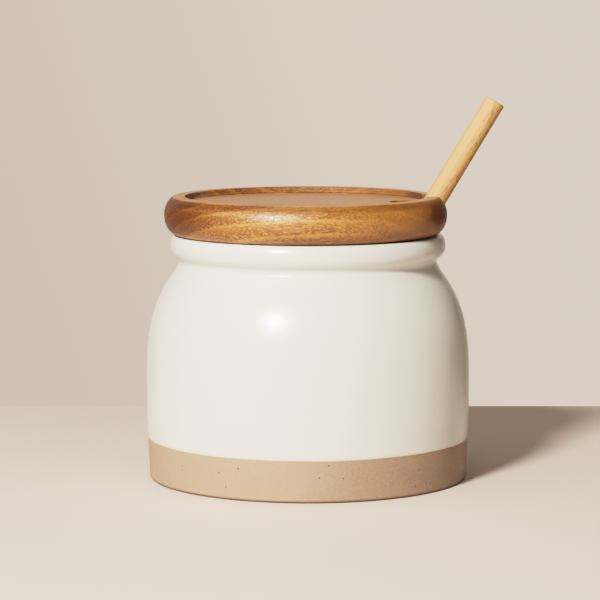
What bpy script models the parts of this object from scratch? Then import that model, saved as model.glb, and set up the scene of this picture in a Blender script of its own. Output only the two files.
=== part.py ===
"""Stoneware honey pot with a turned wooden lid and the handle of its dipper.

Metres, +Z up. The origin is the middle of the pot's foot, on the surface that the pot stands on.
The front is -Y. The handle comes out of the lid's slot on the right and leans towards +X.
"""
import math

import bmesh
import bpy
from mathutils import Vector

# Pot, outside: radii and heights of the turned wall
BELLY_RADIUS = 0.05602
BELLY_TOP = 0.0328
FOOT_RADIUS = 0.0551
FOOT_ROUNDING = 0.0010
BAND_RADIUS = 0.0556
BAND_TOP = 0.0143
BELLY_LOW = 0.0265
SHOULDER_TOP_RADIUS = 0.04763
SHOULDER_TOP = 0.06954
SHOULDER_LOW_PULL = 0.01345
SHOULDER_HIGH_PULL = 0.01406
SHOULDER_LEAN = math.radians(35.2)

# Pot, the groove of the neck and the collar above it
GROOVE_RADIUS = 0.04463
GROOVE_HEIGHT = 0.0750
GROOVE_ROUNDING = 0.0020
GROOVE_LOW_ANGLE = math.radians(28.0)
GROOVE_HIGH_ANGLE = math.radians(52.0)
NECK_PULL = 0.0018
COLLAR_RADIUS = 0.0476
COLLAR_HEIGHT = 0.0805
COLLAR_LOWER_ROUNDING = 0.0045
COLLAR_UPPER_ROUNDING = 0.0065
COLLAR_LEAN = math.radians(28.0)
POT_TOP = 0.0844

# Pot, inside
MOUTH_RADIUS = 0.0413
MOUTH_ROUNDING = 0.0019
MOUTH_BOTTOM = 0.0710
INSIDE_RADIUS = 0.0508
INSIDE_WIDEST = 0.0400
INSIDE_FLOOR = 0.0050
INSIDE_CORNER = 0.0090
INSIDE_HIGH_PULL = 0.0060
INSIDE_LOW_PULL = 0.0150

# Lid
LID_SHIFT = -0.0008
LID_RADIUS = 0.0489
LID_BOTTOM = 0.0847
LID_TOP = 0.0976
LID_WIDEST = 0.0915
LID_SEAT_RADIUS = 0.0448
LID_UPPER_ROUNDING = 0.0074
LID_UPPER_TURN = math.radians(46.0)
RIM_OUTER_RADIUS = 0.0459
RIM_INNER_RADIUS = 0.0416
RECESS_DEPTH = 0.0022
RECESS_COVE = 0.0010
STEP_RADIUS = 0.0399
STEP_BOTTOM = 0.0798
STEP_ROUNDING = 0.0008

# Slot through the lid
SLOT_WIDTH = 0.0125
SLOT_TIP = 0.0294
SLOT_TURN = math.radians(3.7)
SLOT_MARGIN = 0.004

# Handle of the dipper, a rod that stands on the pot's floor and leans on its mouth
HANDLE_Y = 0.0030
HANDLE_SLOPE = 0.6
HANDLE_PASSES_X = 0.0443
HANDLE_PASSES_Z = 0.0961
HANDLE_TOP = 0.1301
HANDLE_FOOT = 0.0074
HANDLE_TOP_RADIUS = 0.00357
HANDLE_FOOT_RADIUS = 0.0039
HANDLE_ROUNDING = 0.0005

# Facets
TURN_STEPS = 64
HANDLE_SIDES = 32
TIP_SIDES = 16

GLAZE_COLOUR = (0.80, 0.78, 0.74)
LID_COLOUR = (0.46, 0.21, 0.07)
HANDLE_COLOUR = (0.78, 0.56, 0.34)


def clear_scene():
    """Take every object out of the scene."""
    for old in list(bpy.data.objects):
        bpy.data.objects.remove(old, do_unlink=True)


def finish(name, colour, roughness):
    """A plain material of one colour."""
    material = bpy.data.materials.new(name)
    material.use_nodes = True
    shader = material.node_tree.nodes["Principled BSDF"]
    shader.inputs["Base Color"].default_value = (*colour, 1.0)
    shader.inputs["Roughness"].default_value = roughness
    shader.inputs["Metallic"].default_value = 0.0
    return material


def arc(centre_r, centre_z, radius_r, radius_z, start, end, pieces):
    """Points of an ellipse's arc, from the start angle to the end angle, measured up from +r."""
    angles = [start + (end - start) * i / pieces for i in range(pieces + 1)]
    return [(centre_r + radius_r * math.cos(a), centre_z + radius_z * math.sin(a)) for a in angles]


def bezier(start, start_pull, end_pull, end, pieces):
    """Points of a cubic curve between two ends and their pull points."""
    points = []
    for i in range(pieces + 1):
        t = i / pieces
        u = 1.0 - t
        weights = (u * u * u, 3 * u * u * t, 3 * u * t * t, t * t * t)
        corners = (start, start_pull, end_pull, end)
        points.append(tuple(sum(w * c[k] for w, c in zip(weights, corners)) for k in (0, 1)))
    return points


def pot_inside():
    """From the middle of the floor up the inner wall to the inner edge of the mouth."""
    floor_edge = INSIDE_RADIUS - INSIDE_CORNER
    corner = arc(floor_edge, INSIDE_FLOOR + INSIDE_CORNER, INSIDE_CORNER, INSIDE_CORNER,
                 -math.pi / 2, 0.0, 5)
    shoulder = bezier((INSIDE_RADIUS, INSIDE_WIDEST), (INSIDE_RADIUS, INSIDE_WIDEST + INSIDE_LOW_PULL),
                      (MOUTH_RADIUS, MOUTH_BOTTOM - INSIDE_HIGH_PULL), (MOUTH_RADIUS, MOUTH_BOTTOM), 8)
    lip = arc(MOUTH_RADIUS + MOUTH_ROUNDING, POT_TOP - MOUTH_ROUNDING, MOUTH_ROUNDING, MOUTH_ROUNDING,
              math.pi, math.pi / 2, 4)
    return [(0.0, INSIDE_FLOOR)] + corner + shoulder + lip


def pot_outside():
    """From the outer edge of the mouth down the collar, the groove, the shoulder and the foot."""
    upper_collar = arc(COLLAR_RADIUS - COLLAR_UPPER_ROUNDING, COLLAR_HEIGHT, COLLAR_UPPER_ROUNDING,
                       COLLAR_UPPER_ROUNDING, COLLAR_LEAN, 0.0, 3)
    lower_collar = arc(COLLAR_RADIUS - COLLAR_LOWER_ROUNDING, COLLAR_HEIGHT, COLLAR_LOWER_ROUNDING,
                       COLLAR_LOWER_ROUNDING, 0.0, -GROOVE_HIGH_ANGLE, 5)
    collar_r, collar_z = upper_collar[0]
    lip_rounding = (POT_TOP - collar_z) / (1.0 - math.sin(COLLAR_LEAN))
    lip = arc(collar_r - lip_rounding * math.cos(COLLAR_LEAN), POT_TOP - lip_rounding, lip_rounding,
              lip_rounding, math.pi / 2, COLLAR_LEAN, 3)
    groove = arc(GROOVE_RADIUS + GROOVE_ROUNDING, GROOVE_HEIGHT, GROOVE_ROUNDING, GROOVE_ROUNDING,
                 math.pi - GROOVE_HIGH_ANGLE, math.pi + GROOVE_LOW_ANGLE, 6)
    neck_pull = (groove[-1][0] + NECK_PULL * math.sin(GROOVE_LOW_ANGLE),
                 groove[-1][1] - NECK_PULL * math.cos(GROOVE_LOW_ANGLE))
    neck_end_pull = (SHOULDER_TOP_RADIUS - NECK_PULL * math.sin(SHOULDER_LEAN),
                     SHOULDER_TOP + NECK_PULL * math.cos(SHOULDER_LEAN))
    neck = bezier(groove[-1], neck_pull, neck_end_pull, (SHOULDER_TOP_RADIUS, SHOULDER_TOP), 3)
    high_pull = (SHOULDER_TOP_RADIUS + SHOULDER_HIGH_PULL * math.sin(SHOULDER_LEAN),
                 SHOULDER_TOP - SHOULDER_HIGH_PULL * math.cos(SHOULDER_LEAN))
    shoulder = bezier((SHOULDER_TOP_RADIUS, SHOULDER_TOP), high_pull,
                      (BELLY_RADIUS, BELLY_TOP + SHOULDER_LOW_PULL), (BELLY_RADIUS, BELLY_TOP), 12)
    wall = [(BELLY_RADIUS, BELLY_LOW), (BAND_RADIUS, BAND_TOP)]
    foot = arc(FOOT_RADIUS - FOOT_ROUNDING, FOOT_ROUNDING, FOOT_ROUNDING, FOOT_ROUNDING,
               0.0, -math.pi / 2, 3)
    top = lip[:-1] + upper_collar + lower_collar[1:]
    return top + groove + neck[1:-1] + shoulder + wall + foot + [(0.0, 0.0)]


def lid_profile():
    """From the middle of the recess over the rim, round the edge and back under the lid."""
    recess_floor = LID_TOP - RECESS_DEPTH
    cove = arc(RIM_INNER_RADIUS - RECESS_COVE, recess_floor + RECESS_COVE, RECESS_COVE, RECESS_COVE,
               -math.pi / 2, 0.0, 3)
    rim = [(RIM_INNER_RADIUS, LID_TOP), (RIM_OUTER_RADIUS, LID_TOP)]
    upper = arc(LID_RADIUS - LID_UPPER_ROUNDING, LID_WIDEST, LID_UPPER_ROUNDING, LID_UPPER_ROUNDING,
                LID_UPPER_TURN, 0.0, 6)
    lower = arc(LID_SEAT_RADIUS, LID_WIDEST, LID_RADIUS - LID_SEAT_RADIUS, LID_WIDEST - LID_BOTTOM,
                0.0, -math.pi / 2, 8)
    step = [(STEP_RADIUS, LID_BOTTOM)]
    step += arc(STEP_RADIUS - STEP_ROUNDING, STEP_BOTTOM + STEP_ROUNDING, STEP_ROUNDING, STEP_ROUNDING,
                0.0, -math.pi / 2, 2)
    return [(0.0, recess_floor)] + cove + rim + upper + lower[1:] + step + [(0.0, STEP_BOTTOM)]


def turned(name, profile, material, shift=0.0):
    """Turn a profile of (radius, height) points round a vertical axis that stands at X = shift."""
    mesh = bpy.data.meshes.new(name)
    points = [(r, 0.0, z) for r, z in profile]
    mesh.from_pydata(points, [(i, i + 1) for i in range(len(points) - 1)], [])
    mesh.materials.append(material)
    piece = bpy.data.objects.new(name, mesh)
    piece.location = (shift, 0.0, 0.0)
    bpy.context.collection.objects.link(piece)
    screw = piece.modifiers.new("Turn", "SCREW")
    screw.steps = TURN_STEPS
    screw.render_steps = TURN_STEPS
    screw.use_merge_vertices = True
    screw.merge_threshold = 0.00001
    screw.use_smooth_shade = True
    return piece


def slot_cutter():
    """A tall block with one round end, as wide as the slot, that runs out past the lid's edge."""
    half = SLOT_WIDTH / 2
    centre = SLOT_TIP + half
    far = LID_RADIUS + SLOT_MARGIN
    outline = [(far, half)]
    for i in range(TIP_SIDES + 1):
        angle = math.pi / 2 + math.pi * i / TIP_SIDES
        outline.append((centre + half * math.cos(angle), half * math.sin(angle)))
    outline.append((far, -half))

    shape = bmesh.new()
    low = STEP_BOTTOM - SLOT_MARGIN
    base = shape.faces.new([shape.verts.new((x, y, low)) for x, y in outline])
    grown = bmesh.ops.extrude_face_region(shape, geom=[base])
    lifted = [item for item in grown["geom"] if isinstance(item, bmesh.types.BMVert)]
    bmesh.ops.translate(shape, verts=lifted, vec=(0.0, 0.0, LID_TOP + SLOT_MARGIN - low))
    bmesh.ops.recalc_face_normals(shape, faces=shape.faces)
    mesh = bpy.data.meshes.new("slot_cutter")
    shape.to_mesh(mesh)
    shape.free()

    cutter = bpy.data.objects.new("slot_cutter", mesh)
    cutter.location = (LID_SHIFT, 0.0, 0.0)
    cutter.rotation_euler = (0.0, 0.0, SLOT_TURN)
    cutter.hide_render = True
    cutter.display_type = "WIRE"
    bpy.context.collection.objects.link(cutter)
    return cutter


def make_lid():
    """The turned lid, with the slot cut through it."""
    lid = turned("lid", lid_profile(), finish("oiled_wood", LID_COLOUR, 0.38), LID_SHIFT)
    cut = lid.modifiers.new("Slot", "BOOLEAN")
    cut.operation = "DIFFERENCE"
    cut.solver = "EXACT"
    cut.object = slot_cutter()
    return lid


def make_handle():
    """A tapered rod with softened ends, leaning from the pot's floor out through the slot."""
    foot = Vector((HANDLE_PASSES_X + HANDLE_SLOPE * (HANDLE_FOOT - HANDLE_PASSES_Z), HANDLE_Y, HANDLE_FOOT))
    top = Vector((HANDLE_PASSES_X + HANDLE_SLOPE * (HANDLE_TOP - HANDLE_PASSES_Z), HANDLE_Y, HANDLE_TOP))
    shape = bmesh.new()
    bmesh.ops.create_cone(shape, cap_ends=True, segments=HANDLE_SIDES, radius1=HANDLE_FOOT_RADIUS,
                          radius2=HANDLE_TOP_RADIUS, depth=(top - foot).length)
    ends = [edge for edge in shape.edges if any(len(face.verts) > 4 for face in edge.link_faces)]
    bmesh.ops.bevel(shape, geom=ends, offset=HANDLE_ROUNDING, segments=2, profile=0.5, affect="EDGES")
    mesh = bpy.data.meshes.new("dipper_handle")
    shape.to_mesh(mesh)
    shape.free()
    mesh.shade_smooth()
    mesh.set_sharp_from_angle(angle=math.radians(40))
    mesh.materials.append(finish("pale_wood", HANDLE_COLOUR, 0.6))
    handle = bpy.data.objects.new("dipper_handle", mesh)
    handle.location = (foot + top) / 2
    handle.rotation_euler = (0.0, math.atan(HANDLE_SLOPE), 0.0)
    bpy.context.collection.objects.link(handle)
    return handle


def main():
    """Make the pot, its lid and the dipper's handle."""
    clear_scene()
    turned("pot", pot_inside() + pot_outside(), finish("cream_glaze", GLAZE_COLOUR, 0.3))
    make_lid()
    make_handle()


main()
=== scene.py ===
"""Looks of the stoneware honey pot: the glazed pot, its turned wooden lid and the dipper's handle.

Metres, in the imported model's frame: +Z up, the pot's foot on z = 0 and the pot's axis on X = Y = 0.
"""
import math

import bmesh
import bpy
import numpy as np
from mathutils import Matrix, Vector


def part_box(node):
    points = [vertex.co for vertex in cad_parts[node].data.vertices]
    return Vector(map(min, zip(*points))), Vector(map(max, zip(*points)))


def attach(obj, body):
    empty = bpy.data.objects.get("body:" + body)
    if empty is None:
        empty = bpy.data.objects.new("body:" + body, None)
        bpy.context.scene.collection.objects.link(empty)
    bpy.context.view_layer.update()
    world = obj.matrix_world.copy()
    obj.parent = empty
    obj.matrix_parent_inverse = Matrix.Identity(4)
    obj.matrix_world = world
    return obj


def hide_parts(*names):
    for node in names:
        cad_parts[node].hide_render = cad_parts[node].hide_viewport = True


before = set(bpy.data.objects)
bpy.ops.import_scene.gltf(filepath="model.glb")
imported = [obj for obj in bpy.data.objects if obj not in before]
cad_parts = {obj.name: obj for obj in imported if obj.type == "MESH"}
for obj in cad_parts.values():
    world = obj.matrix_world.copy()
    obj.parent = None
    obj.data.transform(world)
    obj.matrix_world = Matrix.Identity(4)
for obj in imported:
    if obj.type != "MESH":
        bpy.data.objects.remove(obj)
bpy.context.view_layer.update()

MM = 0.001

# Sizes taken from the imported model
POT_LOW, POT_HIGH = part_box("pot")
LID_LOW, LID_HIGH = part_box("lid")
BELLY_RADIUS = (POT_HIGH.x - POT_LOW.x) / 2
POT_TOP = POT_HIGH.z
LID_RADIUS = (LID_HIGH.y - LID_LOW.y) / 2
LID_CENTRE_X = LID_LOW.x + LID_RADIUS
LID_TOP = LID_HIGH.z
STEP_BOTTOM = LID_LOW.z

# Pot, outside
BELLY_TOP = 32.8 * MM
BELLY_LOW = 26.5 * MM
FOOT_RADIUS = 55.1 * MM
FOOT_ROUNDING = 1.0 * MM
BAND_RADIUS = 55.52 * MM
BAND_TOP = 14.3 * MM
GLAZE_EDGE_RADIUS = 55.66 * MM
GLAZE_EDGE_HEIGHT = 0.45 * MM
SHOULDER_TOP_RADIUS = 47.63 * MM
SHOULDER_TOP = 69.54 * MM
SHOULDER_LOW_PULL = 13.45 * MM
SHOULDER_HIGH_PULL = 14.06 * MM
SHOULDER_LEAN = math.radians(35.2)
GROOVE_RADIUS = 44.63 * MM
GROOVE_HEIGHT = 75.0 * MM
GROOVE_ROUNDING = 2.0 * MM
GROOVE_LOW_ANGLE = math.radians(28.0)
GROOVE_HIGH_ANGLE = math.radians(52.0)
NECK_PULL = 1.8 * MM
COLLAR_RADIUS = 47.6 * MM
COLLAR_HEIGHT = 80.5 * MM
COLLAR_LOWER_ROUNDING = 4.5 * MM
COLLAR_UPPER_ROUNDING = 6.5 * MM
COLLAR_LEAN = math.radians(28.0)

# Pot, inside
MOUTH_RADIUS = 41.3 * MM
MOUTH_ROUNDING = 1.9 * MM
MOUTH_BOTTOM = 71.0 * MM
INSIDE_RADIUS = 50.8 * MM
INSIDE_WIDEST = 40.0 * MM
INSIDE_FLOOR = 5.0 * MM
INSIDE_CORNER = 9.0 * MM
INSIDE_HIGH_PULL = 6.0 * MM
INSIDE_LOW_PULL = 15.0 * MM

# Lid
LID_SEAT = 84.7 * MM
LID_SEAT_RADIUS = 44.8 * MM
LID_WIDEST = 91.5 * MM
LID_UPPER_ROUNDING = 7.4 * MM
LID_UPPER_TURN = math.radians(46.0)
RIM_OUTER_RADIUS = 45.9 * MM
RIM_OUTER_SOFTENING = 0.6 * MM
RIM_INNER_RADIUS = 41.6 * MM
RIM_INNER_SOFTENING = 0.35 * MM
RECESS_DEPTH = 2.2 * MM
RECESS_COVE = 1.0 * MM
WALL_DRAFT = 0.03 * MM
STEP_RADIUS = 39.9 * MM
STEP_ROUNDING = 0.8 * MM
SLOT_WIDTH = 12.5 * MM
SLOT_TIP = 29.4 * MM
SLOT_TURN = math.radians(3.7)
SLOT_SOFTENING = 0.6 * MM

# Handle of the dipper
HANDLE_Y = 3.0 * MM
HANDLE_SLOPE = 0.6
HANDLE_PASSES_X = 44.3 * MM
HANDLE_PASSES_Z = 96.1 * MM
HANDLE_TOP = 130.1 * MM
HANDLE_FOOT = 7.4 * MM
HANDLE_TOP_RADIUS = 3.57 * MM
HANDLE_FOOT_RADIUS = 3.9 * MM
HANDLE_ROUNDING = 0.55 * MM

# Camera, fitted to the photograph's 600 x 600 frame
IMAGE_SIDE = 600
FOCAL_PIXELS = 2756.9
SENSOR = 36.0
CAMERA_PLACE = (-2.74 * MM, -950.2 * MM, 170.9 * MM)
CAMERA_PITCH = 0.1148

# Light and stage
KEY_AZIMUTH = math.radians(26.7)
KEY_ELEVATION = math.radians(32.6)
KEY_DISTANCE = 2.0
KEY_AIM_HEIGHT = 0.05
KEY_SIZE = 0.36
KEY_POWER = 84.0
KEY_COLOUR = (1.0, 0.93, 0.80)
LEFT_FILL = (0.46, 0.46, 0.32)
RIGHT_FILL = (0.0, 0.08, 0.10)
SIDES_MIRRORED = 0.25
TOP_FILL = (0.43, 0.34, 0.24)
BACK_FILL = (0.15, 0.12, 0.16)
WALL_GLOW = 0.30
SEEN_COLOUR = (0.87, 0.68, 0.54)
FLOOR_COLOUR = (0.89, 0.745, 0.70)
SHOULDER_START = 0.4
SHOULDER_CEILING = 1.05
SHOULDER_WHITE = 8.0
FLOOR_BACK = 157 * MM
FLOOR_HALF_WIDTH = 1.5
FLOOR_FRONT = -1.6
FLOOR_THICKNESS = 30 * MM
BACKDROP_Y = 1.6
BACKDROP_HALF_WIDTH = 2.2
BACKDROP_LOW = -1.2
BACKDROP_HIGH = 2.0
WALL_DIM = (0.77, 0.575, 0.47, 1)
WALL_BRIGHT = (0.95, 0.76, 0.61, 1)

# Colours of the ware
GLAZE = (0.715, 0.695, 0.648, 1)
GLAZE_ROUGHNESS = 0.24
THIN_GLAZE = (0.58, 0.455, 0.33, 1)
CLAY_DARKER = (0.290, 0.197, 0.135, 1)
CLAY_PALER = (0.318, 0.219, 0.153, 1)
CLAY_PAINTED_LIGHT = (0.372, 0.256, 0.188, 1)
GRAIN_DARK = (0.170, 0.108, 0.070, 1)
GRAIN_PALE = (0.440, 0.320, 0.235, 1)
CLAY_SPECK = (0.12, 0.065, 0.04, 1)
FOOT_PAINTED_SHADE = (0.080, 0.048, 0.028, 1)

# Colours of the lid, and the stains and painted shades that multiply them
LID_RINGS = [
    (0.00, (0.190, 0.062, 0.008)), (0.30, (0.225, 0.077, 0.011)), (0.66, (0.310, 0.117, 0.021)),
    (0.84, (0.540, 0.250, 0.066)), (0.93, (0.520, 0.235, 0.058)), (1.00, (0.190, 0.062, 0.008))]
LID_EVEN = (0.312, 0.126, 0.025, 1)
LID_DARK_FLECK = (0.125, 0.047, 0.007, 1)
LID_GOLDEN_FLECK = (0.540, 0.250, 0.057, 1)
LID_PALE_STREAK = (0.500, 0.250, 0.080, 1)
LID_LEFT_WALL_PALE = (0.340, 0.240, 0.150, 1)
LID_TOP_PAINTED_SHEEN = (0.420, 0.260, 0.185, 1)
HEART_BROWN = (0.150, 0.048, 0.008, 1)
HEART_DARK = (0.110, 0.027, 0.004, 1)
RECESS_WALL_PAINTED_SHADE = (0.64, 0.55, 0.26, 1)
LEFT_END_STAIN = (0.31, 0.20, 0.05, 1)
SLOT_TIP_PAINTED_SHADE = (0.12, 0.06, 0.03, 1)
SLOT_SIDE_PAINTED_SHADE = (0.45, 0.38, 0.42, 1)
UNDER_RIM_PAINTED_SHADE = (0.60, 0.50, 0.28, 1)
UNDER_RIM_LEFT_PAINTED_SHADE = (0.80, 0.68, 0.52, 1)
LOWER_EDGE_PAINTED_SHADE = (0.62, 0.52, 0.28, 1)

# Colours of the handle
HANDLE_RINGS = [
    (0.0, (0.612, 0.287, 0.142)), (0.3, (0.647, 0.306, 0.159)), (0.7, (0.657, 0.314, 0.166)),
    (1.0, (0.612, 0.287, 0.142))]
HANDLE_FIBRE = (0.700, 0.372, 0.205, 1)
HANDLE_SHADE_TINT = (0.70, 0.82, 0.46, 1)
HANDLE_PORE = (0.240, 0.135, 0.035, 1)


def arc(centre_r, centre_z, radius_r, radius_z, start, end, pieces):
    """Points (r, z) of an ellipse's arc: centre + (a cos t, b sin t), with t from start to end."""
    t = np.linspace(start, end, pieces + 1)
    return np.stack([centre_r + radius_r * np.cos(t), centre_z + radius_z * np.sin(t)], axis=1)


def bezier(start, start_pull, end_pull, end, pieces):
    """Points (r, z) of a cubic curve: (1-t)^3 A + 3 (1-t)^2 t B + 3 (1-t) t^2 C + t^3 D."""
    t = np.linspace(0.0, 1.0, pieces + 1)[:, None]
    u = 1.0 - t
    a, b, c, d = [np.array(corner) for corner in (start, start_pull, end_pull, end)]
    return u ** 3 * a + 3 * u ** 2 * t * b + 3 * u * t ** 2 * c + t ** 3 * d


def grid_faces(rows, columns, first=0):
    """Quads between neighbouring points of a rows x columns grid whose points are numbered by rows."""
    i, j = np.meshgrid(np.arange(rows - 1), np.arange(columns - 1), indexing="ij")
    corner = (first + i * columns + j).ravel()
    return np.stack([corner, corner + 1, corner + columns + 1, corner + columns], axis=1)


def piece_from_grids(name, grids, merge=1e-6):
    """One closed mesh from several grids of points, merged where they meet and faced outwards."""
    points = np.concatenate([grid.reshape(-1, 3) for grid in grids])
    faces = []
    first = 0
    for grid in grids:
        rows, columns = grid.shape[:2]
        faces.append(grid_faces(rows, columns, first))
        first += rows * columns
    mesh = bpy.data.meshes.new(name)
    mesh.from_pydata(points.tolist(), [], np.concatenate(faces).tolist())
    shape = bmesh.new()
    shape.from_mesh(mesh)
    bmesh.ops.remove_doubles(shape, verts=shape.verts, dist=merge)
    bmesh.ops.recalc_face_normals(shape, faces=shape.faces)
    shape.to_mesh(mesh)
    shape.free()
    mesh.shade_smooth()
    mesh.set_sharp_from_angle(angle=math.radians(50))
    piece = bpy.data.objects.new(name, mesh)
    bpy.context.collection.objects.link(piece)
    return piece


def turned_grid(profile, columns):
    """Each profile point (r, z) carried round the Z axis: (r cos a, r sin a, z), a from 0 to a full turn."""
    angle = np.linspace(0.0, 2 * math.pi, columns + 1)
    r, z = profile[:, :1], profile[:, 1:]
    return np.stack([r * np.cos(angle), r * np.sin(angle), z + 0 * angle], axis=2)


def pot_profile():
    """The pot's section, from the middle of its inside floor over the mouth and down to the foot.

    Arcs make the corners, the lip, the collar and the groove. A cubic curve makes each side of the
    shoulder, and the glaze ends in a thin rounded step above the bare band.
    """
    inner_corner = arc(INSIDE_RADIUS - INSIDE_CORNER, INSIDE_FLOOR + INSIDE_CORNER, INSIDE_CORNER,
                       INSIDE_CORNER, -math.pi / 2, 0.0, 12)
    inner_shoulder = bezier((INSIDE_RADIUS, INSIDE_WIDEST), (INSIDE_RADIUS, INSIDE_WIDEST + INSIDE_LOW_PULL),
                            (MOUTH_RADIUS, MOUTH_BOTTOM - INSIDE_HIGH_PULL), (MOUTH_RADIUS, MOUTH_BOTTOM), 24)
    inner_lip = arc(MOUTH_RADIUS + MOUTH_ROUNDING, POT_TOP - MOUTH_ROUNDING, MOUTH_ROUNDING, MOUTH_ROUNDING,
                    math.pi, math.pi / 2, 10)
    upper_collar = arc(COLLAR_RADIUS - COLLAR_UPPER_ROUNDING, COLLAR_HEIGHT, COLLAR_UPPER_ROUNDING,
                       COLLAR_UPPER_ROUNDING, COLLAR_LEAN, 0.0, 8)
    lower_collar = arc(COLLAR_RADIUS - COLLAR_LOWER_ROUNDING, COLLAR_HEIGHT, COLLAR_LOWER_ROUNDING,
                       COLLAR_LOWER_ROUNDING, 0.0, -GROOVE_HIGH_ANGLE, 14)
    collar_r, collar_z = upper_collar[0]
    lip_rounding = (POT_TOP - collar_z) / (1.0 - math.sin(COLLAR_LEAN))
    outer_lip = arc(collar_r - lip_rounding * math.cos(COLLAR_LEAN), POT_TOP - lip_rounding,
                    lip_rounding, lip_rounding, math.pi / 2, COLLAR_LEAN, 10)
    groove = arc(GROOVE_RADIUS + GROOVE_ROUNDING, GROOVE_HEIGHT, GROOVE_ROUNDING, GROOVE_ROUNDING,
                 math.pi - GROOVE_HIGH_ANGLE, math.pi + GROOVE_LOW_ANGLE, 22)
    neck_lean = np.array([math.sin(GROOVE_LOW_ANGLE), -math.cos(GROOVE_LOW_ANGLE)])
    shoulder_lean = np.array([math.sin(SHOULDER_LEAN), -math.cos(SHOULDER_LEAN)])
    shoulder_top = np.array([SHOULDER_TOP_RADIUS, SHOULDER_TOP])
    neck = bezier(groove[-1], groove[-1] + NECK_PULL * neck_lean, shoulder_top - NECK_PULL * shoulder_lean,
                  shoulder_top, 10)
    high_pull = (SHOULDER_TOP_RADIUS + SHOULDER_HIGH_PULL * math.sin(SHOULDER_LEAN),
                 SHOULDER_TOP - SHOULDER_HIGH_PULL * math.cos(SHOULDER_LEAN))
    shoulder = bezier((SHOULDER_TOP_RADIUS, SHOULDER_TOP), high_pull,
                      (BELLY_RADIUS, BELLY_TOP + SHOULDER_LOW_PULL), (BELLY_RADIUS, BELLY_TOP), 48)
    edge_top = BAND_TOP + GLAZE_EDGE_HEIGHT
    wall = bezier((BELLY_RADIUS, BELLY_LOW), (BELLY_RADIUS, BELLY_LOW - 5 * MM),
                  (GLAZE_EDGE_RADIUS, edge_top + 4 * MM), (GLAZE_EDGE_RADIUS, edge_top), 14)
    glaze_edge = arc(BAND_RADIUS, edge_top, GLAZE_EDGE_RADIUS - BAND_RADIUS, GLAZE_EDGE_HEIGHT,
                     0.0, -math.pi / 2, 6)
    band = bezier((BAND_RADIUS, BAND_TOP), (BAND_RADIUS, BAND_TOP - 5 * MM),
                  (FOOT_RADIUS, FOOT_ROUNDING + 3 * MM), (FOOT_RADIUS, FOOT_ROUNDING), 12)
    foot = arc(FOOT_RADIUS - FOOT_ROUNDING, FOOT_ROUNDING, FOOT_ROUNDING, FOOT_ROUNDING,
               0.0, -math.pi / 2, 8)
    middle = np.array([[0.0, INSIDE_FLOOR]])
    end = np.array([[FOOT_RADIUS / 2, 0.0], [0.0, 0.0]])
    return np.concatenate([middle, inner_corner, inner_shoulder, inner_lip, outer_lip, upper_collar[1:],
                           lower_collar[1:], groove, neck[1:], shoulder[1:], wall, glaze_edge[1:], band[1:],
                           foot[1:], end])


def make_pot():
    """The pot: its section turned round the Z axis."""
    return piece_from_grids("glazed_pot", [turned_grid(pot_profile(), 360)])


def lid_upper_section():
    """The lid's upper side as (r, z) points with growing r: recess floor, cove, rim and upper bullnose."""
    floor_z = LID_TOP - RECESS_DEPTH
    cove = arc(RIM_INNER_RADIUS - WALL_DRAFT - RECESS_COVE, floor_z + RECESS_COVE, RECESS_COVE, RECESS_COVE,
               -math.pi / 2, 0.0, 8)
    inner_edge = arc(RIM_INNER_RADIUS + RIM_INNER_SOFTENING, LID_TOP - RIM_INNER_SOFTENING,
                     RIM_INNER_SOFTENING, RIM_INNER_SOFTENING, math.pi, math.pi / 2, 5)
    bullnose = arc(LID_RADIUS - LID_UPPER_ROUNDING, LID_WIDEST, LID_UPPER_ROUNDING, LID_UPPER_ROUNDING,
                   LID_UPPER_TURN, 0.0, 18)
    corner = np.array([RIM_OUTER_RADIUS, LID_TOP])
    slope = (bullnose[0] - corner) / np.linalg.norm(bullnose[0] - corner)
    flat_end = corner - np.array([RIM_OUTER_SOFTENING, 0.0])
    slope_start = corner + slope * RIM_OUTER_SOFTENING
    outer_edge = bezier(flat_end, (flat_end + 2 * corner) / 3, (slope_start + 2 * corner) / 3, slope_start, 6)
    return np.concatenate([np.array([[0.0, floor_z]]), cove, inner_edge, outer_edge, bullnose])


def lid_lower_section():
    """The lid's lower side as (r, z) points with growing r: locating step, seat and lower bullnose."""
    step = arc(STEP_RADIUS - WALL_DRAFT - STEP_ROUNDING, STEP_BOTTOM + STEP_ROUNDING, STEP_ROUNDING,
               STEP_ROUNDING, -math.pi / 2, 0.0, 5)
    seat = np.array([[STEP_RADIUS, LID_SEAT]])
    bullnose = arc(LID_SEAT_RADIUS, LID_WIDEST, LID_RADIUS - LID_SEAT_RADIUS, LID_WIDEST - LID_SEAT,
                   -math.pi / 2, 0.0, 20)
    return np.concatenate([np.array([[0.0, STEP_BOTTOM]]), step, seat, bullnose])


def slot_angle(r, centre, half):
    """Angle from the slot's middle line at which a circle of radius r meets a slot with a round tip.

    Before the tip it is 0. On the round tip it follows from the triangle of r, centre and half, and
    on the straight sides its sine is half / r.
    """
    cosine = (r ** 2 + centre ** 2 - half ** 2) / np.maximum(2 * r * centre, 1e-12)
    round_part = np.arccos(np.clip(cosine, -1.0, 1.0))
    straight_part = np.arcsin(np.clip(half / np.maximum(r, half), 0.0, 1.0))
    angle = np.where(r < math.hypot(centre, half), round_part, straight_part)
    return np.where(r <= centre - half, 0.0, angle)


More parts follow.
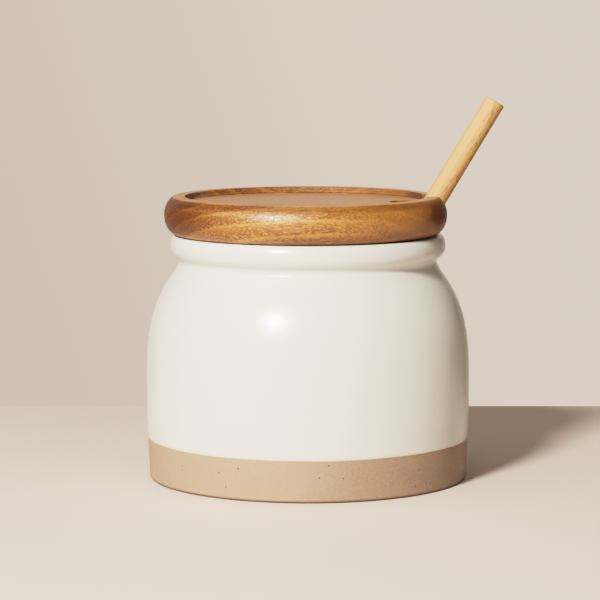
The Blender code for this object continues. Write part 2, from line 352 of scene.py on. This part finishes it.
def make_lid():
    """The lid: two discs of rings that leave the slot open, and the slot's wall with softened edges.

    A point of a disc is (r cos a, r sin a, z(r)), and a runs from the slot's one side round to the
    other. The wall is a strip across the thickness: a quarter round, a straight run, a quarter round.
    """
    upper, lower = lid_upper_section(), lid_lower_section()
    half = SLOT_WIDTH / 2
    centre = SLOT_TIP + half
    wide = half + SLOT_SOFTENING
    round_tip = np.linspace(0.0, math.pi / 2, 19)
    tip_radii = np.hypot(centre - wide * np.cos(round_tip), wide * np.sin(round_tip))
    plain_radii = np.linspace(0.0, tip_radii[0], 8)
    flat_radii = np.linspace(tip_radii[-1], RIM_OUTER_RADIUS, 12)
    wanted = np.concatenate([upper[:, 0], lower[:, 0], tip_radii, plain_radii, flat_radii])
    radii = np.unique(np.round(wanted, 8))
    apart = np.concatenate([[True], np.diff(radii) > 4e-6])
    radii = radii[apart]
    radii[-1] = LID_RADIUS

    def top(r):
        return np.interp(r, upper[:, 0], upper[:, 1])

    def bottom(r):
        return np.interp(r, lower[:, 0], lower[:, 1])

    start = slot_angle(radii, centre, wide)[:, None]
    share = np.linspace(0.0, 1.0, 281)[None, :]
    angle = start + share * (2 * math.pi - 2 * start)
    x, y = radii[:, None] * np.cos(angle), radii[:, None] * np.sin(angle)
    discs = [np.stack([x, y, z(radii)[:, None] + 0 * angle], axis=2) for z in (top, bottom)]

    cut = radii >= tip_radii[0] - 1e-9
    edge_x, edge_y = x[cut, 0], y[cut, 0]
    away_x = np.where(edge_x < centre, edge_x - centre, 0.0) / wide
    away_y = edge_y / wide
    turn = np.linspace(0.0, math.pi / 2, 6)
    reach = np.concatenate([wide - SLOT_SOFTENING * np.sin(turn), np.full(5, half),
                            wide - SLOT_SOFTENING * np.sin(turn[::-1])])
    base_x = np.where(edge_x < centre, centre, edge_x)
    wall_x = base_x[:, None] + away_x[:, None] * reach
    wall_y = away_y[:, None] * reach
    wall_r = np.minimum(np.hypot(wall_x, wall_y), LID_RADIUS)
    high, low = top(wall_r), bottom(wall_r)
    middle = len(reach) // 2
    soft = np.minimum(SLOT_SOFTENING, 0.45 * (high - low)[:, middle])[:, None]
    drop = 1.0 - np.cos(turn)
    span = np.linspace(0.0, 1.0, 7)[1:-1]
    upper_z = high[:, :6] - soft * drop
    lower_z = low[:, -6:] + soft * drop[::-1]
    straight_z = upper_z[:, -1:] + span * (lower_z[:, :1] - upper_z[:, -1:])
    wall_z = np.concatenate([upper_z, straight_z, lower_z], axis=1)
    walls = [np.stack([wall_x, side * wall_y, wall_z], axis=2) for side in (1.0, -1.0)]
    caps = [np.stack([wall[-1, :middle + 1], wall[-1, ::-1][:middle + 1]]) for wall in walls]

    def placed(grid):
        """Turned by the slot's angle about the lid's axis and moved to the lid's place."""
        cos, sin = math.cos(SLOT_TURN), math.sin(SLOT_TURN)
        gx, gy, gz = grid[..., 0], grid[..., 1], grid[..., 2]
        return np.stack([LID_CENTRE_X + gx * cos - gy * sin, gx * sin + gy * cos, gz], axis=-1)

    return piece_from_grids("turned_lid", [placed(grid) for grid in discs + walls + caps])


def handle_frame():
    """The handle's foot, its length, the direction of its axis and two directions across it."""
    foot = np.array([HANDLE_PASSES_X + HANDLE_SLOPE * (HANDLE_FOOT - HANDLE_PASSES_Z), HANDLE_Y, HANDLE_FOOT])
    top = np.array([HANDLE_PASSES_X + HANDLE_SLOPE * (HANDLE_TOP - HANDLE_PASSES_Z), HANDLE_Y, HANDLE_TOP])
    length = np.linalg.norm(top - foot)
    along = (top - foot) / length
    across = np.array([0.0, 1.0, 0.0])
    return foot, length, along, across, np.cross(across, along)


def make_handle():
    """The handle: circles carried along a leaning line, foot + s A + r(s) (B cos a + C sin a).

    The radius tapers evenly, and at both ends an arc brings it in to the flat cut end.
    """
    foot, length, along, across, side = handle_frame()
    low = arc(HANDLE_FOOT_RADIUS - HANDLE_ROUNDING, HANDLE_ROUNDING, HANDLE_ROUNDING, HANDLE_ROUNDING,
              -math.pi / 2, 0.0, 6)
    high = arc(HANDLE_TOP_RADIUS - HANDLE_ROUNDING, length - HANDLE_ROUNDING, HANDLE_ROUNDING,
               HANDLE_ROUNDING, 0.0, math.pi / 2, 6)
    rows = 60
    straight = low[-1] + np.linspace(0.0, 1.0, rows)[1:-1, None] * (high[0] - low[-1])
    section = np.concatenate([[[0.0, 0.0]], low, straight, high, [[0.0, length]]])
    angle = np.linspace(0.0, 2 * math.pi, 73)
    r, s = section[:, :1, None], section[:, 1:, None]
    ring = across * np.cos(angle)[None, :, None] + side * np.sin(angle)[None, :, None]
    return piece_from_grids("dipper_rod", [foot + s * along + r * ring])


def add(tree, kind, inputs=None, **settings):
    """A node of that kind, with its settings, and its inputs set to values or joined to sockets."""
    node = tree.nodes.new(kind)
    for name, value in settings.items():
        setattr(node, name, value)
    for key, value in (inputs or {}).items():
        if isinstance(value, bpy.types.NodeSocket):
            tree.links.new(value, node.inputs[key])
        else:
            node.inputs[key].default_value = value
    return node


def calc(tree, operation, *values, clamp=False):
    """The result of a Math node on up to three values or sockets."""
    node = add(tree, "ShaderNodeMath", dict(enumerate(values)), operation=operation, use_clamp=clamp)
    return node.outputs[0]


def remap(tree, value, from_low, from_high, to_low=0.0, to_high=1.0, smooth=True):
    """value moved from one range to another, with soft ends if smooth."""
    node = add(tree, "ShaderNodeMapRange", {0: value, 1: from_low, 2: from_high, 3: to_low, 4: to_high},
               interpolation_type="SMOOTHSTEP" if smooth else "LINEAR")
    return node.outputs[0]


def product(tree, first, *others):
    """The product of two or more values or sockets."""
    for other in others:
        first = calc(tree, "MULTIPLY", first, other)
    return first


def blend_colour(tree, share, first, second, kind="MIX"):
    """first and second mixed by share, or first multiplied by second by share."""
    node = add(tree, "ShaderNodeMix", {0: share, 6: first, 7: second}, data_type="RGBA", blend_type=kind)
    return node.outputs[2]


def stain_and_shade(tree, share, colour, stain):
    """colour multiplied by a stain or a painted shade, by share."""
    return blend_colour(tree, share, colour, stain, "MULTIPLY")


def parts_of(tree, vector):
    """The X, Y and Z parts of a vector."""
    return tuple(add(tree, "ShaderNodeSeparateXYZ", {0: vector}).outputs)


def vector_sum(tree, first, *others):
    """The sum of two or more vectors."""
    for other in others:
        first = add(tree, "ShaderNodeVectorMath", {0: first, 1: other}, operation="ADD").outputs[0]
    return first


def scaled(tree, vector, factor):
    """vector times a number or a value socket."""
    return add(tree, "ShaderNodeVectorMath", {0: vector, "Scale": factor}, operation="SCALE").outputs[0]


def noise(tree, vector, scale, detail=2.0, roughness=0.5, distortion=0.0):
    """The value of a Noise texture, about 0.5 on average."""
    node = add(tree, "ShaderNodeTexNoise", {"Vector": vector, "Scale": scale, "Detail": detail,
                                            "Roughness": roughness, "Distortion": distortion})
    return node.outputs["Fac"]


def mapped(tree, vector, location=(0, 0, 0), rotation=(0, 0, 0), scale=(1, 1, 1)):
    """vector moved, turned and scaled by a Mapping node."""
    node = add(tree, "ShaderNodeMapping", {"Vector": vector, "Location": location, "Rotation": rotation,
                                           "Scale": scale})
    return node.outputs[0]


def ramp(tree, value, stops):
    """A Color Ramp over (place, colour) stops."""
    node = add(tree, "ShaderNodeValToRGB", {0: value})
    elements = node.color_ramp.elements
    while len(elements) > 1:
        elements.remove(elements[-1])
    elements[0].position = stops[0][0]
    elements[0].color = (*stops[0][1], 1.0)
    for place, colour in stops[1:]:
        elements.new(place).color = (*colour, 1.0)
    return node.outputs[0]


def new_group(name, inputs, outputs):
    """A shader node group with float or vector inputs and float outputs, and its two end nodes."""
    tree = bpy.data.node_groups.new(name, "ShaderNodeTree")
    for label, kind, value in inputs:
        socket = tree.interface.new_socket(label, in_out="INPUT", socket_type=kind)
        if value is not None:
            socket.default_value = value
    for label in outputs:
        tree.interface.new_socket(label, in_out="OUTPUT", socket_type="NodeSocketFloat")
    return tree, tree.nodes.new("NodeGroupInput").outputs, tree.nodes.new("NodeGroupOutput").inputs


def growth_rings():
    """Group: the rings of a trunk that runs along X. The distance from its heart, bent by a noise that
    is drawn out along the trunk, is divided by the ring width. Ring is 0 to 1 across each ring, and
    Tone is a slow change from ring to ring."""
    tree, given, result = new_group("growth_rings", [
        ("Vector", "NodeSocketVector", None),
        ("Ring Width", "NodeSocketFloat", 0.003),
        ("Wander", "NodeSocketFloat", 0.002),
    ], ["Ring", "Tone"])
    drawn_out = mapped(tree, given["Vector"], scale=(14.0, 55.0, 55.0))
    wander = product(tree, calc(tree, "SUBTRACT", noise(tree, drawn_out, 1.0, 3.0), 0.5), given["Wander"])
    fine = mapped(tree, given["Vector"], location=(3.1, 1.7, 0.4), scale=(30.0, 300.0, 300.0))
    ripple = product(tree, calc(tree, "SUBTRACT", noise(tree, fine, 1.0, 2.0), 0.5), given["Ring Width"], 0.30)
    _, y, z = parts_of(tree, given["Vector"])
    square = calc(tree, "ADD", product(tree, y, y), product(tree, z, z))
    heart = calc(tree, "ADD", calc(tree, "SQRT", square), calc(tree, "ADD", wander, ripple))
    rings = calc(tree, "DIVIDE", heart, given["Ring Width"])
    tree.links.new(calc(tree, "FRACT", rings), result["Ring"])
    slow = add(tree, "ShaderNodeTexNoise", {"W": calc(tree, "MULTIPLY", rings, 0.55), "Scale": 1.0,
                                            "Detail": 1.0}, noise_dimensions="1D").outputs["Fac"]
    tree.links.new(slow, result["Tone"])
    return tree


def wood_pores():
    """Group: short dark pores that run along X. A noise is squeezed to the pore's width across the
    grain and drawn out to its length along it, and only its peaks are kept."""
    tree, given, result = new_group("wood_pores", [
        ("Vector", "NodeSocketVector", None),
        ("Length", "NodeSocketFloat", 0.008),
        ("Width", "NodeSocketFloat", 0.0005),
        ("Threshold", "NodeSocketFloat", 0.56),
    ], ["Pore", "Fibre"])
    along = calc(tree, "DIVIDE", 1.0, given["Length"])
    across = calc(tree, "DIVIDE", 1.0, given["Width"])
    scale = add(tree, "ShaderNodeCombineXYZ", {0: along, 1: across, 2: across}).outputs[0]
    stretched = add(tree, "ShaderNodeVectorMath", {0: given["Vector"], 1: scale},
                    operation="MULTIPLY").outputs[0]
    grain = noise(tree, stretched, 1.0, 2.0, 0.6)
    above = calc(tree, "SUBTRACT", grain, given["Threshold"])
    tree.links.new(calc(tree, "MULTIPLY", above, 9.0, clamp=True), result["Pore"])
    beside = mapped(tree, stretched, location=(7.3, 2.9, 5.1), scale=(0.8, 0.8, 0.8))
    tree.links.new(noise(tree, beside, 1.0, 2.0, 0.6), result["Fibre"])
    return tree


def new_material(name):
    """An empty material, its tree and its Principled BSDF."""
    material = bpy.data.materials.new(name)
    material.use_nodes = True
    tree = material.node_tree
    return material, tree, tree.nodes["Principled BSDF"]


def indented(tree, shader, height, strength=1.0):
    """The shader's surface raised by a height in metres."""
    bump = add(tree, "ShaderNodeBump", {"Strength": strength, "Distance": 1.0, "Height": height})
    tree.links.new(bump.outputs[0], shader.inputs["Normal"])


def stoneware():
    """Cream satin glaze down to the band, bare speckled clay on the band and the foot's underside."""
    material, tree, shader = new_material("stoneware")
    place = add(tree, "ShaderNodeTexCoord").outputs["Object"]
    x, y, z = parts_of(tree, place)
    radius = calc(tree, "SQRT", calc(tree, "ADD", product(tree, x, x), product(tree, y, y)))

    # Where the glaze is: above a slightly wavy line outside, and everywhere inside
    wave = product(tree, calc(tree, "SUBTRACT", noise(tree, place, 70.0, 3.0), 0.5), 0.5 * MM)
    height = calc(tree, "ADD", z, wave)
    above = remap(tree, height, BAND_TOP - 0.06 * MM, BAND_TOP + 0.06 * MM)
    inside = product(tree, calc(tree, "LESS_THAN", radius, INSIDE_RADIUS + 1.5 * MM),
                     calc(tree, "GREATER_THAN", z, INSIDE_FLOOR - 1.5 * MM))
    glazed = calc(tree, "MAXIMUM", above, inside)

    # Glaze: even, and thin and warm at its lower edge
    thin = remap(tree, height, BAND_TOP, BAND_TOP + 1.6 * MM, 0.30, 0.0)
    glaze = blend_colour(tree, thin, GLAZE, THIN_GLAZE)

    # Clay: faintly clouded, with painted light that makes it paler towards the lit left side, sandy grain and
    # a few small dark specks
    cloud = remap(tree, noise(tree, place, 45.0, 4.0, 0.6), 0.3, 0.7)
    clay = blend_colour(tree, cloud, CLAY_DARKER, CLAY_PALER)
    # Painted light: the clay is blended paler towards the left, where the lamp falls
    clay = blend_colour(tree, remap(tree, x, 22 * MM, -10 * MM), clay, CLAY_PAINTED_LIGHT)
    grain = noise(tree, place, 1300.0, 2.0, 0.6)
    sandy = remap(tree, x, 20 * MM, -10 * MM, 0.23, 0.10)
    clay = blend_colour(tree, product(tree, remap(tree, grain, 0.48, 0.68), sandy), clay, GRAIN_DARK)
    clay = blend_colour(tree, product(tree, remap(tree, grain, 0.46, 0.30), sandy), clay, GRAIN_PALE)
    speck = specks(tree, mapped(tree, place, location=(3.1 * MM, 1.7 * MM, 2.3 * MM)), 270.0, 0.065, 0.30)
    clay = blend_colour(tree, speck, clay, CLAY_SPECK)
    # Painted contact shade: the clay is darkened at the foot's lowest edge, where it meets the floor
    clay = blend_colour(tree, remap(tree, z, 1.3 * MM, 0.3 * MM, 0.0, 0.85), clay, FOOT_PAINTED_SHADE)

    tree.links.new(blend_colour(tree, glazed, clay, glaze), shader.inputs["Base Color"])
    clay_rough = remap(tree, grain, 0.3, 0.7, 0.56, 0.66)
    rough = add(tree, "ShaderNodeMix", {0: glazed, 2: clay_rough, 3: GLAZE_ROUGHNESS}).outputs[0]
    tree.links.new(rough, shader.inputs["Roughness"])

    # Relief: fine sand and small pits in the bare clay
    pitted = calc(tree, "SUBTRACT", product(tree, grain, 0.06 * MM), product(tree, speck, 0.08 * MM))
    indented(tree, shader, product(tree, pitted, calc(tree, "SUBTRACT", 1.0, glazed)))
    return material


def specks(tree, vector, scale, size, kept):
    """Round specks: the inside of a small radius round each Voronoi point, for a share of the points."""
    cells = add(tree, "ShaderNodeTexVoronoi", {"Vector": vector, "Scale": scale})
    near = remap(tree, cells.outputs["Distance"], size * 1.6, size * 0.8)
    picked = add(tree, "ShaderNodeSeparateColor", {0: cells.outputs["Color"]}).outputs[0]
    return calc(tree, "MULTIPLY", near, calc(tree, "GREATER_THAN", picked, kept))


def lid_wood(rings, pores):
    """Golden brown hardwood in satin lacquer, sawn flat, so that its rings run along X."""
    material, tree, shader = new_material("lid_wood")
    place = add(tree, "ShaderNodeTexCoord").outputs["Object"]
    x, y, _ = parts_of(tree, place)
    normal = add(tree, "ShaderNodeNewGeometry").outputs["Normal"]
    facing_x, facing_y, facing_z = parts_of(tree, normal)
    plank = mapped(tree, place, location=(0.0, 60 * MM, -21 * MM),
                   rotation=(0.0, math.radians(2.5), math.radians(5.0)))
    ring = add(tree, "ShaderNodeGroup", {"Vector": plank, "Ring Width": 4.6 * MM, "Wander": 4.0 * MM},
               node_tree=rings).outputs
    colour = ramp(tree, ring["Ring"], LID_RINGS)
    colour = blend_colour(tree, remap(tree, ring["Tone"], 0.30, 0.70, 0.0, 0.35), colour, LID_EVEN)

    # The figure fades towards the right
    colour = blend_colour(tree, remap(tree, x, 4 * MM, 26 * MM, 0.0, 0.80), colour, LID_EVEN)

    # Fine flecks, dark and golden, drawn out along the grain
    fleck = add(tree, "ShaderNodeGroup", {"Vector": plank, "Length": 1.1 * MM, "Width": 0.43 * MM,
                                          "Threshold": 0.50}, node_tree=pores).outputs
    strong = product(tree, remap(tree, x, 0.0, 35 * MM, 1.0, 0.35),
                     remap(tree, facing_z, 0.85, 0.98, 1.0, 0.25))
    colour = blend_colour(tree, product(tree, fleck["Pore"], 0.92, strong), colour, LID_DARK_FLECK)
    golden = product(tree, remap(tree, fleck["Fibre"], 0.50, 0.60, 0.0, 0.72), strong)
    colour = blend_colour(tree, golden, colour, LID_GOLDEN_FLECK)

    # Long pale streaks in the middle, where the cut runs along the grain
    streak = add(tree, "ShaderNodeGroup", {"Vector": plank, "Length": 14 * MM, "Width": 0.8 * MM,
                                           "Threshold": 0.54}, node_tree=pores).outputs
    middle = product(tree, remap(tree, x, -24 * MM, -6 * MM), remap(tree, x, 14 * MM, 28 * MM, 1.0, 0.0))
    colour = blend_colour(tree, product(tree, streak["Pore"], 0.45, middle), colour, LID_PALE_STREAK)

    # Painted shade on the recess's wall, which faces the lid's middle, and the wall made paler at its left end
    outwards = add(tree, "ShaderNodeVectorMath", {0: place, 1: (1.0, 1.0, 0.0)},
                   operation="MULTIPLY").outputs[0]
    away = add(tree, "ShaderNodeVectorMath", {0: outwards, 1: normal},
               operation="DOT_PRODUCT").outputs["Value"]
    wall = remap(tree, away, -8 * MM, -26 * MM)
    # Painted shade: the recess's wall is darkened, except at its left end
    colour = stain_and_shade(tree, product(tree, wall, remap(tree, x, -40 * MM, -26 * MM)), colour, RECESS_WALL_PAINTED_SHADE)
    # Towards its left end the recess's wall is blended to a paler brown
    paler_left_end = product(tree, wall, remap(tree, x, -32 * MM, -40 * MM, 0.0, 0.6))
    colour = blend_colour(tree, paler_left_end, colour, LID_LEFT_WALL_PALE)

    # Painted reflection: the flat, upward-facing surfaces are made a little paler, most of all at the right
    # end
    sheen_share = remap(tree, x, 34 * MM, 42 * MM, 0.25, 0.65)
    colour = blend_colour(tree, remap(tree, facing_z, 0.92, 0.99, 0.0, sheen_share), colour, LID_TOP_PAINTED_SHEEN)

    # End grain drinks more lacquer, so it is darker at the left end. At the slot's tip the end grain is
    # darkened much more, as painted shade inside the slot
    end_grain = product(tree, remap(tree, calc(tree, "ABSOLUTE", facing_x), 0.40, 0.85),
                        calc(tree, "SUBTRACT", 1.0, wall))
    left_end = product(tree, end_grain, remap(tree, x, -12 * MM, -28 * MM))
    colour = stain_and_shade(tree, left_end, colour, LEFT_END_STAIN)
    from_middle = calc(tree, "ABSOLUTE", y)
    past_tip = remap(tree, x, 26 * MM, 28 * MM)
    at_tip = product(tree, end_grain, past_tip, remap(tree, from_middle, 9 * MM, 8 * MM),
                     remap(tree, x, 38 * MM, 36 * MM))
    # Painted shade inside the slot's tip, over its end grain
    colour = stain_and_shade(tree, at_tip, colour, SLOT_TIP_PAINTED_SHADE)

    # Painted shade on the slot's sides and on the end of the recess's wall beside them
    slot_side = product(tree, past_tip, remap(tree, from_middle, 13 * MM, 12 * MM),
                        remap(tree, calc(tree, "ABSOLUTE", facing_y), 0.80, 0.95))
    beside = product(tree, wall, remap(tree, x, 33 * MM, 38 * MM))
    colour = stain_and_shade(tree, calc(tree, "MAXIMUM", slot_side, beside), colour, SLOT_SIDE_PAINTED_SHADE)

    # Painted shade just under the rim's outer edge, deeper towards the left
    under_rim = product(tree, remap(tree, facing_z, 0.42, 0.64), remap(tree, facing_z, 0.88, 0.78))
    colour = stain_and_shade(tree, under_rim, colour, UNDER_RIM_PAINTED_SHADE)
    deeper = product(tree, under_rim, remap(tree, x, -4 * MM, -30 * MM))
    colour = stain_and_shade(tree, deeper, colour, UNDER_RIM_LEFT_PAINTED_SHADE)

    # Painted shade on the down-facing lower edge, from the middle to the right
    lower = product(tree, remap(tree, facing_z, 0.0, -0.70), remap(tree, x, -22 * MM, -2 * MM))
    colour = stain_and_shade(tree, lower, colour, LOWER_EDGE_PAINTED_SHADE)

    # A dark streak of heartwood at the right end, with a browner zone before it
    heart_place = mapped(tree, place, location=(-6.98, 1.32, -21.4), scale=(150.0, 80.0, 230.0))
    from_heart = add(tree, "ShaderNodeVectorMath", {0: heart_place}, operation="LENGTH").outputs["Value"]
    ragged = calc(tree, "ADD", from_heart, product(tree, noise(tree, place, 220.0, 3.0), 0.3))
    colour = blend_colour(tree, remap(tree, ragged, 1.0, 2.3, 0.44, 0.0), colour, HEART_BROWN)
    colour = blend_colour(tree, remap(tree, ragged, 1.08, 1.16, 0.76, 0.0), colour, HEART_DARK)
    tree.links.new(colour, shader.inputs["Base Color"])

    # Satin lacquer, duller in the pores and on the recess's wall
    rough = remap(tree, fleck["Pore"], 0.0, 1.0, 0.38, 0.50)
    rough = calc(tree, "MAXIMUM", rough, product(tree, wall, 0.70))
    tree.links.new(rough, shader.inputs["Roughness"])
    shader.inputs["Specular IOR Level"].default_value = 0.80
    shader.inputs["Specular Tint"].default_value = (1.0, 0.86, 0.86, 1.0)
    indented(tree, shader, product(tree, fleck["Pore"], -0.03 * MM), 0.8)
    return material


def handle_wood(rings, pores):
    """Bare pale hardwood with its fibres along the handle, sanded and unfinished."""
    material, tree, shader = new_material("handle_wood")
    place = add(tree, "ShaderNodeTexCoord").outputs["Object"]
    upright = mapped(tree, place, rotation=(0.0, math.pi / 2 - math.atan(HANDLE_SLOPE), 0.0))
    rod = mapped(tree, upright, location=(0.0, 10 * MM, 12 * MM))
    ring = add(tree, "ShaderNodeGroup", {"Vector": rod, "Ring Width": 1.7 * MM, "Wander": 1.8 * MM},
               node_tree=rings).outputs
    fleck = add(tree, "ShaderNodeGroup", {"Vector": rod, "Length": 2.6 * MM, "Width": 0.62 * MM,
                                          "Threshold": 0.52}, node_tree=pores).outputs
    colour = ramp(tree, ring["Ring"], HANDLE_RINGS)
    colour = blend_colour(tree, remap(tree, fleck["Fibre"], 0.3, 0.7, 0.0, 0.25), colour, HANDLE_FIBRE)

    # Painted shade: an olive tint on the side towards +X, away from the lamp; short dark pores there too
    normal = add(tree, "ShaderNodeNewGeometry").outputs["Normal"]
    facing_x = parts_of(tree, normal)[0]
    colour = stain_and_shade(tree, remap(tree, facing_x, -0.15, 0.75), colour, HANDLE_SHADE_TINT)
    opened = product(tree, fleck["Pore"], remap(tree, facing_x, -0.40, 0.30, 0.0, 0.70))
    colour = blend_colour(tree, opened, colour, HANDLE_PORE)
    tree.links.new(colour, shader.inputs["Base Color"])
    tree.links.new(remap(tree, fleck["Fibre"], 0.3, 0.7, 0.74, 0.88), shader.inputs["Roughness"])
    shader.inputs["Specular IOR Level"].default_value = 0.35
    indented(tree, shader, product(tree, fleck["Pore"], -0.04 * MM), 0.7)
    return material


def dress(piece, node, material):
    """piece stands for that node, rides on the one body and wears the material."""
    piece.data.materials.clear()
    piece.data.materials.append(material)
    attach(piece, "root")
    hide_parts(node)


def make_floor():
    """A pale slab: a section in Y and Z with a softened back edge, carried along X."""
    edge = 1.0 * MM
    y = np.array([FLOOR_FRONT, FLOOR_BACK - edge, FLOOR_BACK - 0.3 * edge, FLOOR_BACK, FLOOR_BACK,
                  FLOOR_FRONT, FLOOR_FRONT])
    z = np.array([0.0, 0.0, -0.3 * edge, -edge, -FLOOR_THICKNESS, -FLOOR_THICKNESS, 0.0])
    x = np.array([-FLOOR_HALF_WIDTH, FLOOR_HALF_WIDTH])[:, None]
    grid = np.stack([x + 0 * y, y + 0 * x, z + 0 * x], axis=2)
    ends = [np.stack([grid[i, :4], grid[i, [0, 5, 4, 4]]]) for i in (0, 1)]
    floor = piece_from_grids("studio_floor", [grid] + ends)
    material, tree, shader = new_material("floor_paint")
    place = add(tree, "ShaderNodeTexCoord").outputs["Object"]
    tint = blend_colour(tree, noise(tree, place, 6.0, 3.0), tuple(0.985 * c for c in FLOOR_COLOUR) + (1.0,),
                        FLOOR_COLOUR + (1.0,))
    tree.links.new(tint, shader.inputs["Base Color"])
    shader.inputs["Roughness"].default_value = 0.8
    shader.inputs["Specular IOR Level"].default_value = 0.2
    floor.data.materials.append(material)


def make_backdrop():
    """A far, evenly lit wall: a flat grid in X and Z, a little darker and redder towards the left."""
    x, z = np.meshgrid(np.linspace(-BACKDROP_HALF_WIDTH, BACKDROP_HALF_WIDTH, 3),
                       np.linspace(BACKDROP_LOW, BACKDROP_HIGH, 3))
    mesh = bpy.data.meshes.new("studio_wall")
    points = np.stack([x, np.full_like(x, BACKDROP_Y), z], axis=2).reshape(-1, 3)
    mesh.from_pydata(points.tolist(), [], grid_faces(3, 3).tolist())
    wall = bpy.data.objects.new("studio_wall", mesh)
    bpy.context.collection.objects.link(wall)
    material = bpy.data.materials.new("wall_light")
    material.use_nodes = True
    tree = material.node_tree
    tree.nodes.clear()
    x, _, z = parts_of(tree, add(tree, "ShaderNodeTexCoord").outputs["Object"])
    sweep = calc(tree, "ADD", x, product(tree, z, 0.35))
    colour = blend_colour(tree, remap(tree, sweep, -0.35, 0.25), WALL_DIM, WALL_BRIGHT)
    rays = add(tree, "ShaderNodeLightPath").outputs
    mirrored = product(tree, rays["Is Glossy Ray"], remap(tree, x, 0.25, 1.0, 1.0, 0.0),
                       remap(tree, x, -1.5, -0.5, 0.15, 1.0))
    lit = product(tree, rays["Is Diffuse Ray"], WALL_GLOW)
    strength = calc(tree, "MAXIMUM", rays["Is Camera Ray"], calc(tree, "MAXIMUM", mirrored, lit))
    glow = add(tree, "ShaderNodeEmission", {"Color": colour, "Strength": strength})
    add(tree, "ShaderNodeOutputMaterial", {"Surface": glow.outputs[0]})
    wall.data.materials.append(material)


def make_camera():
    """A long lens at the photograph's place and angle."""
    data = bpy.data.cameras.new("camera")
    data.sensor_width = SENSOR
    data.lens = FOCAL_PIXELS / IMAGE_SIDE * SENSOR
    data.clip_start = 0.01
    data.clip_end = 20.0
    camera = bpy.data.objects.new("camera", data)
    camera.location = CAMERA_PLACE
    camera.rotation_euler = (math.pi / 2 - CAMERA_PITCH, 0.0, 0.0)
    bpy.context.collection.objects.link(camera)
    bpy.context.scene.camera = camera


def lobe(tree, part, sign, colour):
    """A wide soft light from one side: the colour times the square of the direction's part to that side."""
    facing = calc(tree, "MAXIMUM", product(tree, part, sign), 0.0)
    return scaled(tree, colour, product(tree, facing, facing))


def make_lights():
    """One soft round lamp from the front left, and a faint fill from both sides, above and behind."""
    data = bpy.data.lights.new("key", "AREA")
    data.shape = "DISK"
    data.size = KEY_SIZE
    data.energy = KEY_POWER
    data.color = KEY_COLOUR
    key = bpy.data.objects.new("key", data)
    flat = KEY_DISTANCE * math.cos(KEY_ELEVATION)
    key.location = (-flat * math.sin(KEY_AZIMUTH), -flat * math.cos(KEY_AZIMUTH),
                    KEY_DISTANCE * math.sin(KEY_ELEVATION) + KEY_AIM_HEIGHT)
    key.rotation_euler = (math.pi / 2 - KEY_ELEVATION, 0.0, -KEY_AZIMUTH)
    bpy.context.collection.objects.link(key)

    world = bpy.data.worlds.new("studio")
    world.use_nodes = True
    tree = world.node_tree
    tree.nodes.clear()
    x, y, z = parts_of(tree, add(tree, "ShaderNodeTexCoord").outputs["Generated"])
    rays = add(tree, "ShaderNodeLightPath").outputs
    mirrored = remap(tree, rays["Is Glossy Ray"], 0.0, 1.0, 1.0, SIDES_MIRRORED, smooth=False)
    sides = vector_sum(tree, lobe(tree, x, -1.0, LEFT_FILL), lobe(tree, x, 1.0, RIGHT_FILL))
    lobes = vector_sum(tree, lobe(tree, z, 1.0, TOP_FILL), lobe(tree, y, 1.0, BACK_FILL),
                       scaled(tree, sides, mirrored))
    fill = add(tree, "ShaderNodeBackground", {"Color": lobes, "Strength": 1.0}).outputs[0]
    seen = add(tree, "ShaderNodeBackground", {"Color": (*SEEN_COLOUR, 1), "Strength": 1.0}).outputs[0]
    both = add(tree, "ShaderNodeMixShader", {0: rays["Is Camera Ray"], 1: fill, 2: seen})
    add(tree, "ShaderNodeOutputWorld", {"Surface": both.outputs[0]})
    bpy.context.scene.world = world


def soft_shoulder():
    """Bright tones bend over gently: y = x up to the start s, then y = s + c u / (u + c), where u is
    x - s and c is the ceiling less s."""
    view = bpy.context.scene.view_settings
    view.view_transform = "Standard"
    view.use_curve_mapping = True
    mapping = view.curve_mapping
    mapping.white_level = (SHOULDER_WHITE, SHOULDER_WHITE, SHOULDER_WHITE)
    mapping.extend = "EXTRAPOLATED"
    bend = SHOULDER_START * (SHOULDER_WHITE / SHOULDER_START) ** np.linspace(0.0, 1.0, 10)
    over, room = bend - SHOULDER_START, SHOULDER_CEILING - SHOULDER_START
    bent = SHOULDER_START + room * over / (over + room)
    curve = mapping.curves[3]
    curve.points[0].location = (0.0, 0.0)
    curve.points[0].handle_type = "VECTOR"
    curve.points[-1].location = (1.0, float(bent[-1]))
    for x, y in zip(bend[:-1], bent[:-1]):
        curve.points.new(float(x / SHOULDER_WHITE), float(y))
    mapping.update()


make_camera()
make_lights()
soft_shoulder()
make_floor()
make_backdrop()
ring_group, pore_group = growth_rings(), wood_pores()
dress(make_pot(), "pot", stoneware())
dress(make_lid(), "lid", lid_wood(ring_group, pore_group))
dress(make_handle(), "dipper_handle", handle_wood(ring_group, pore_group))
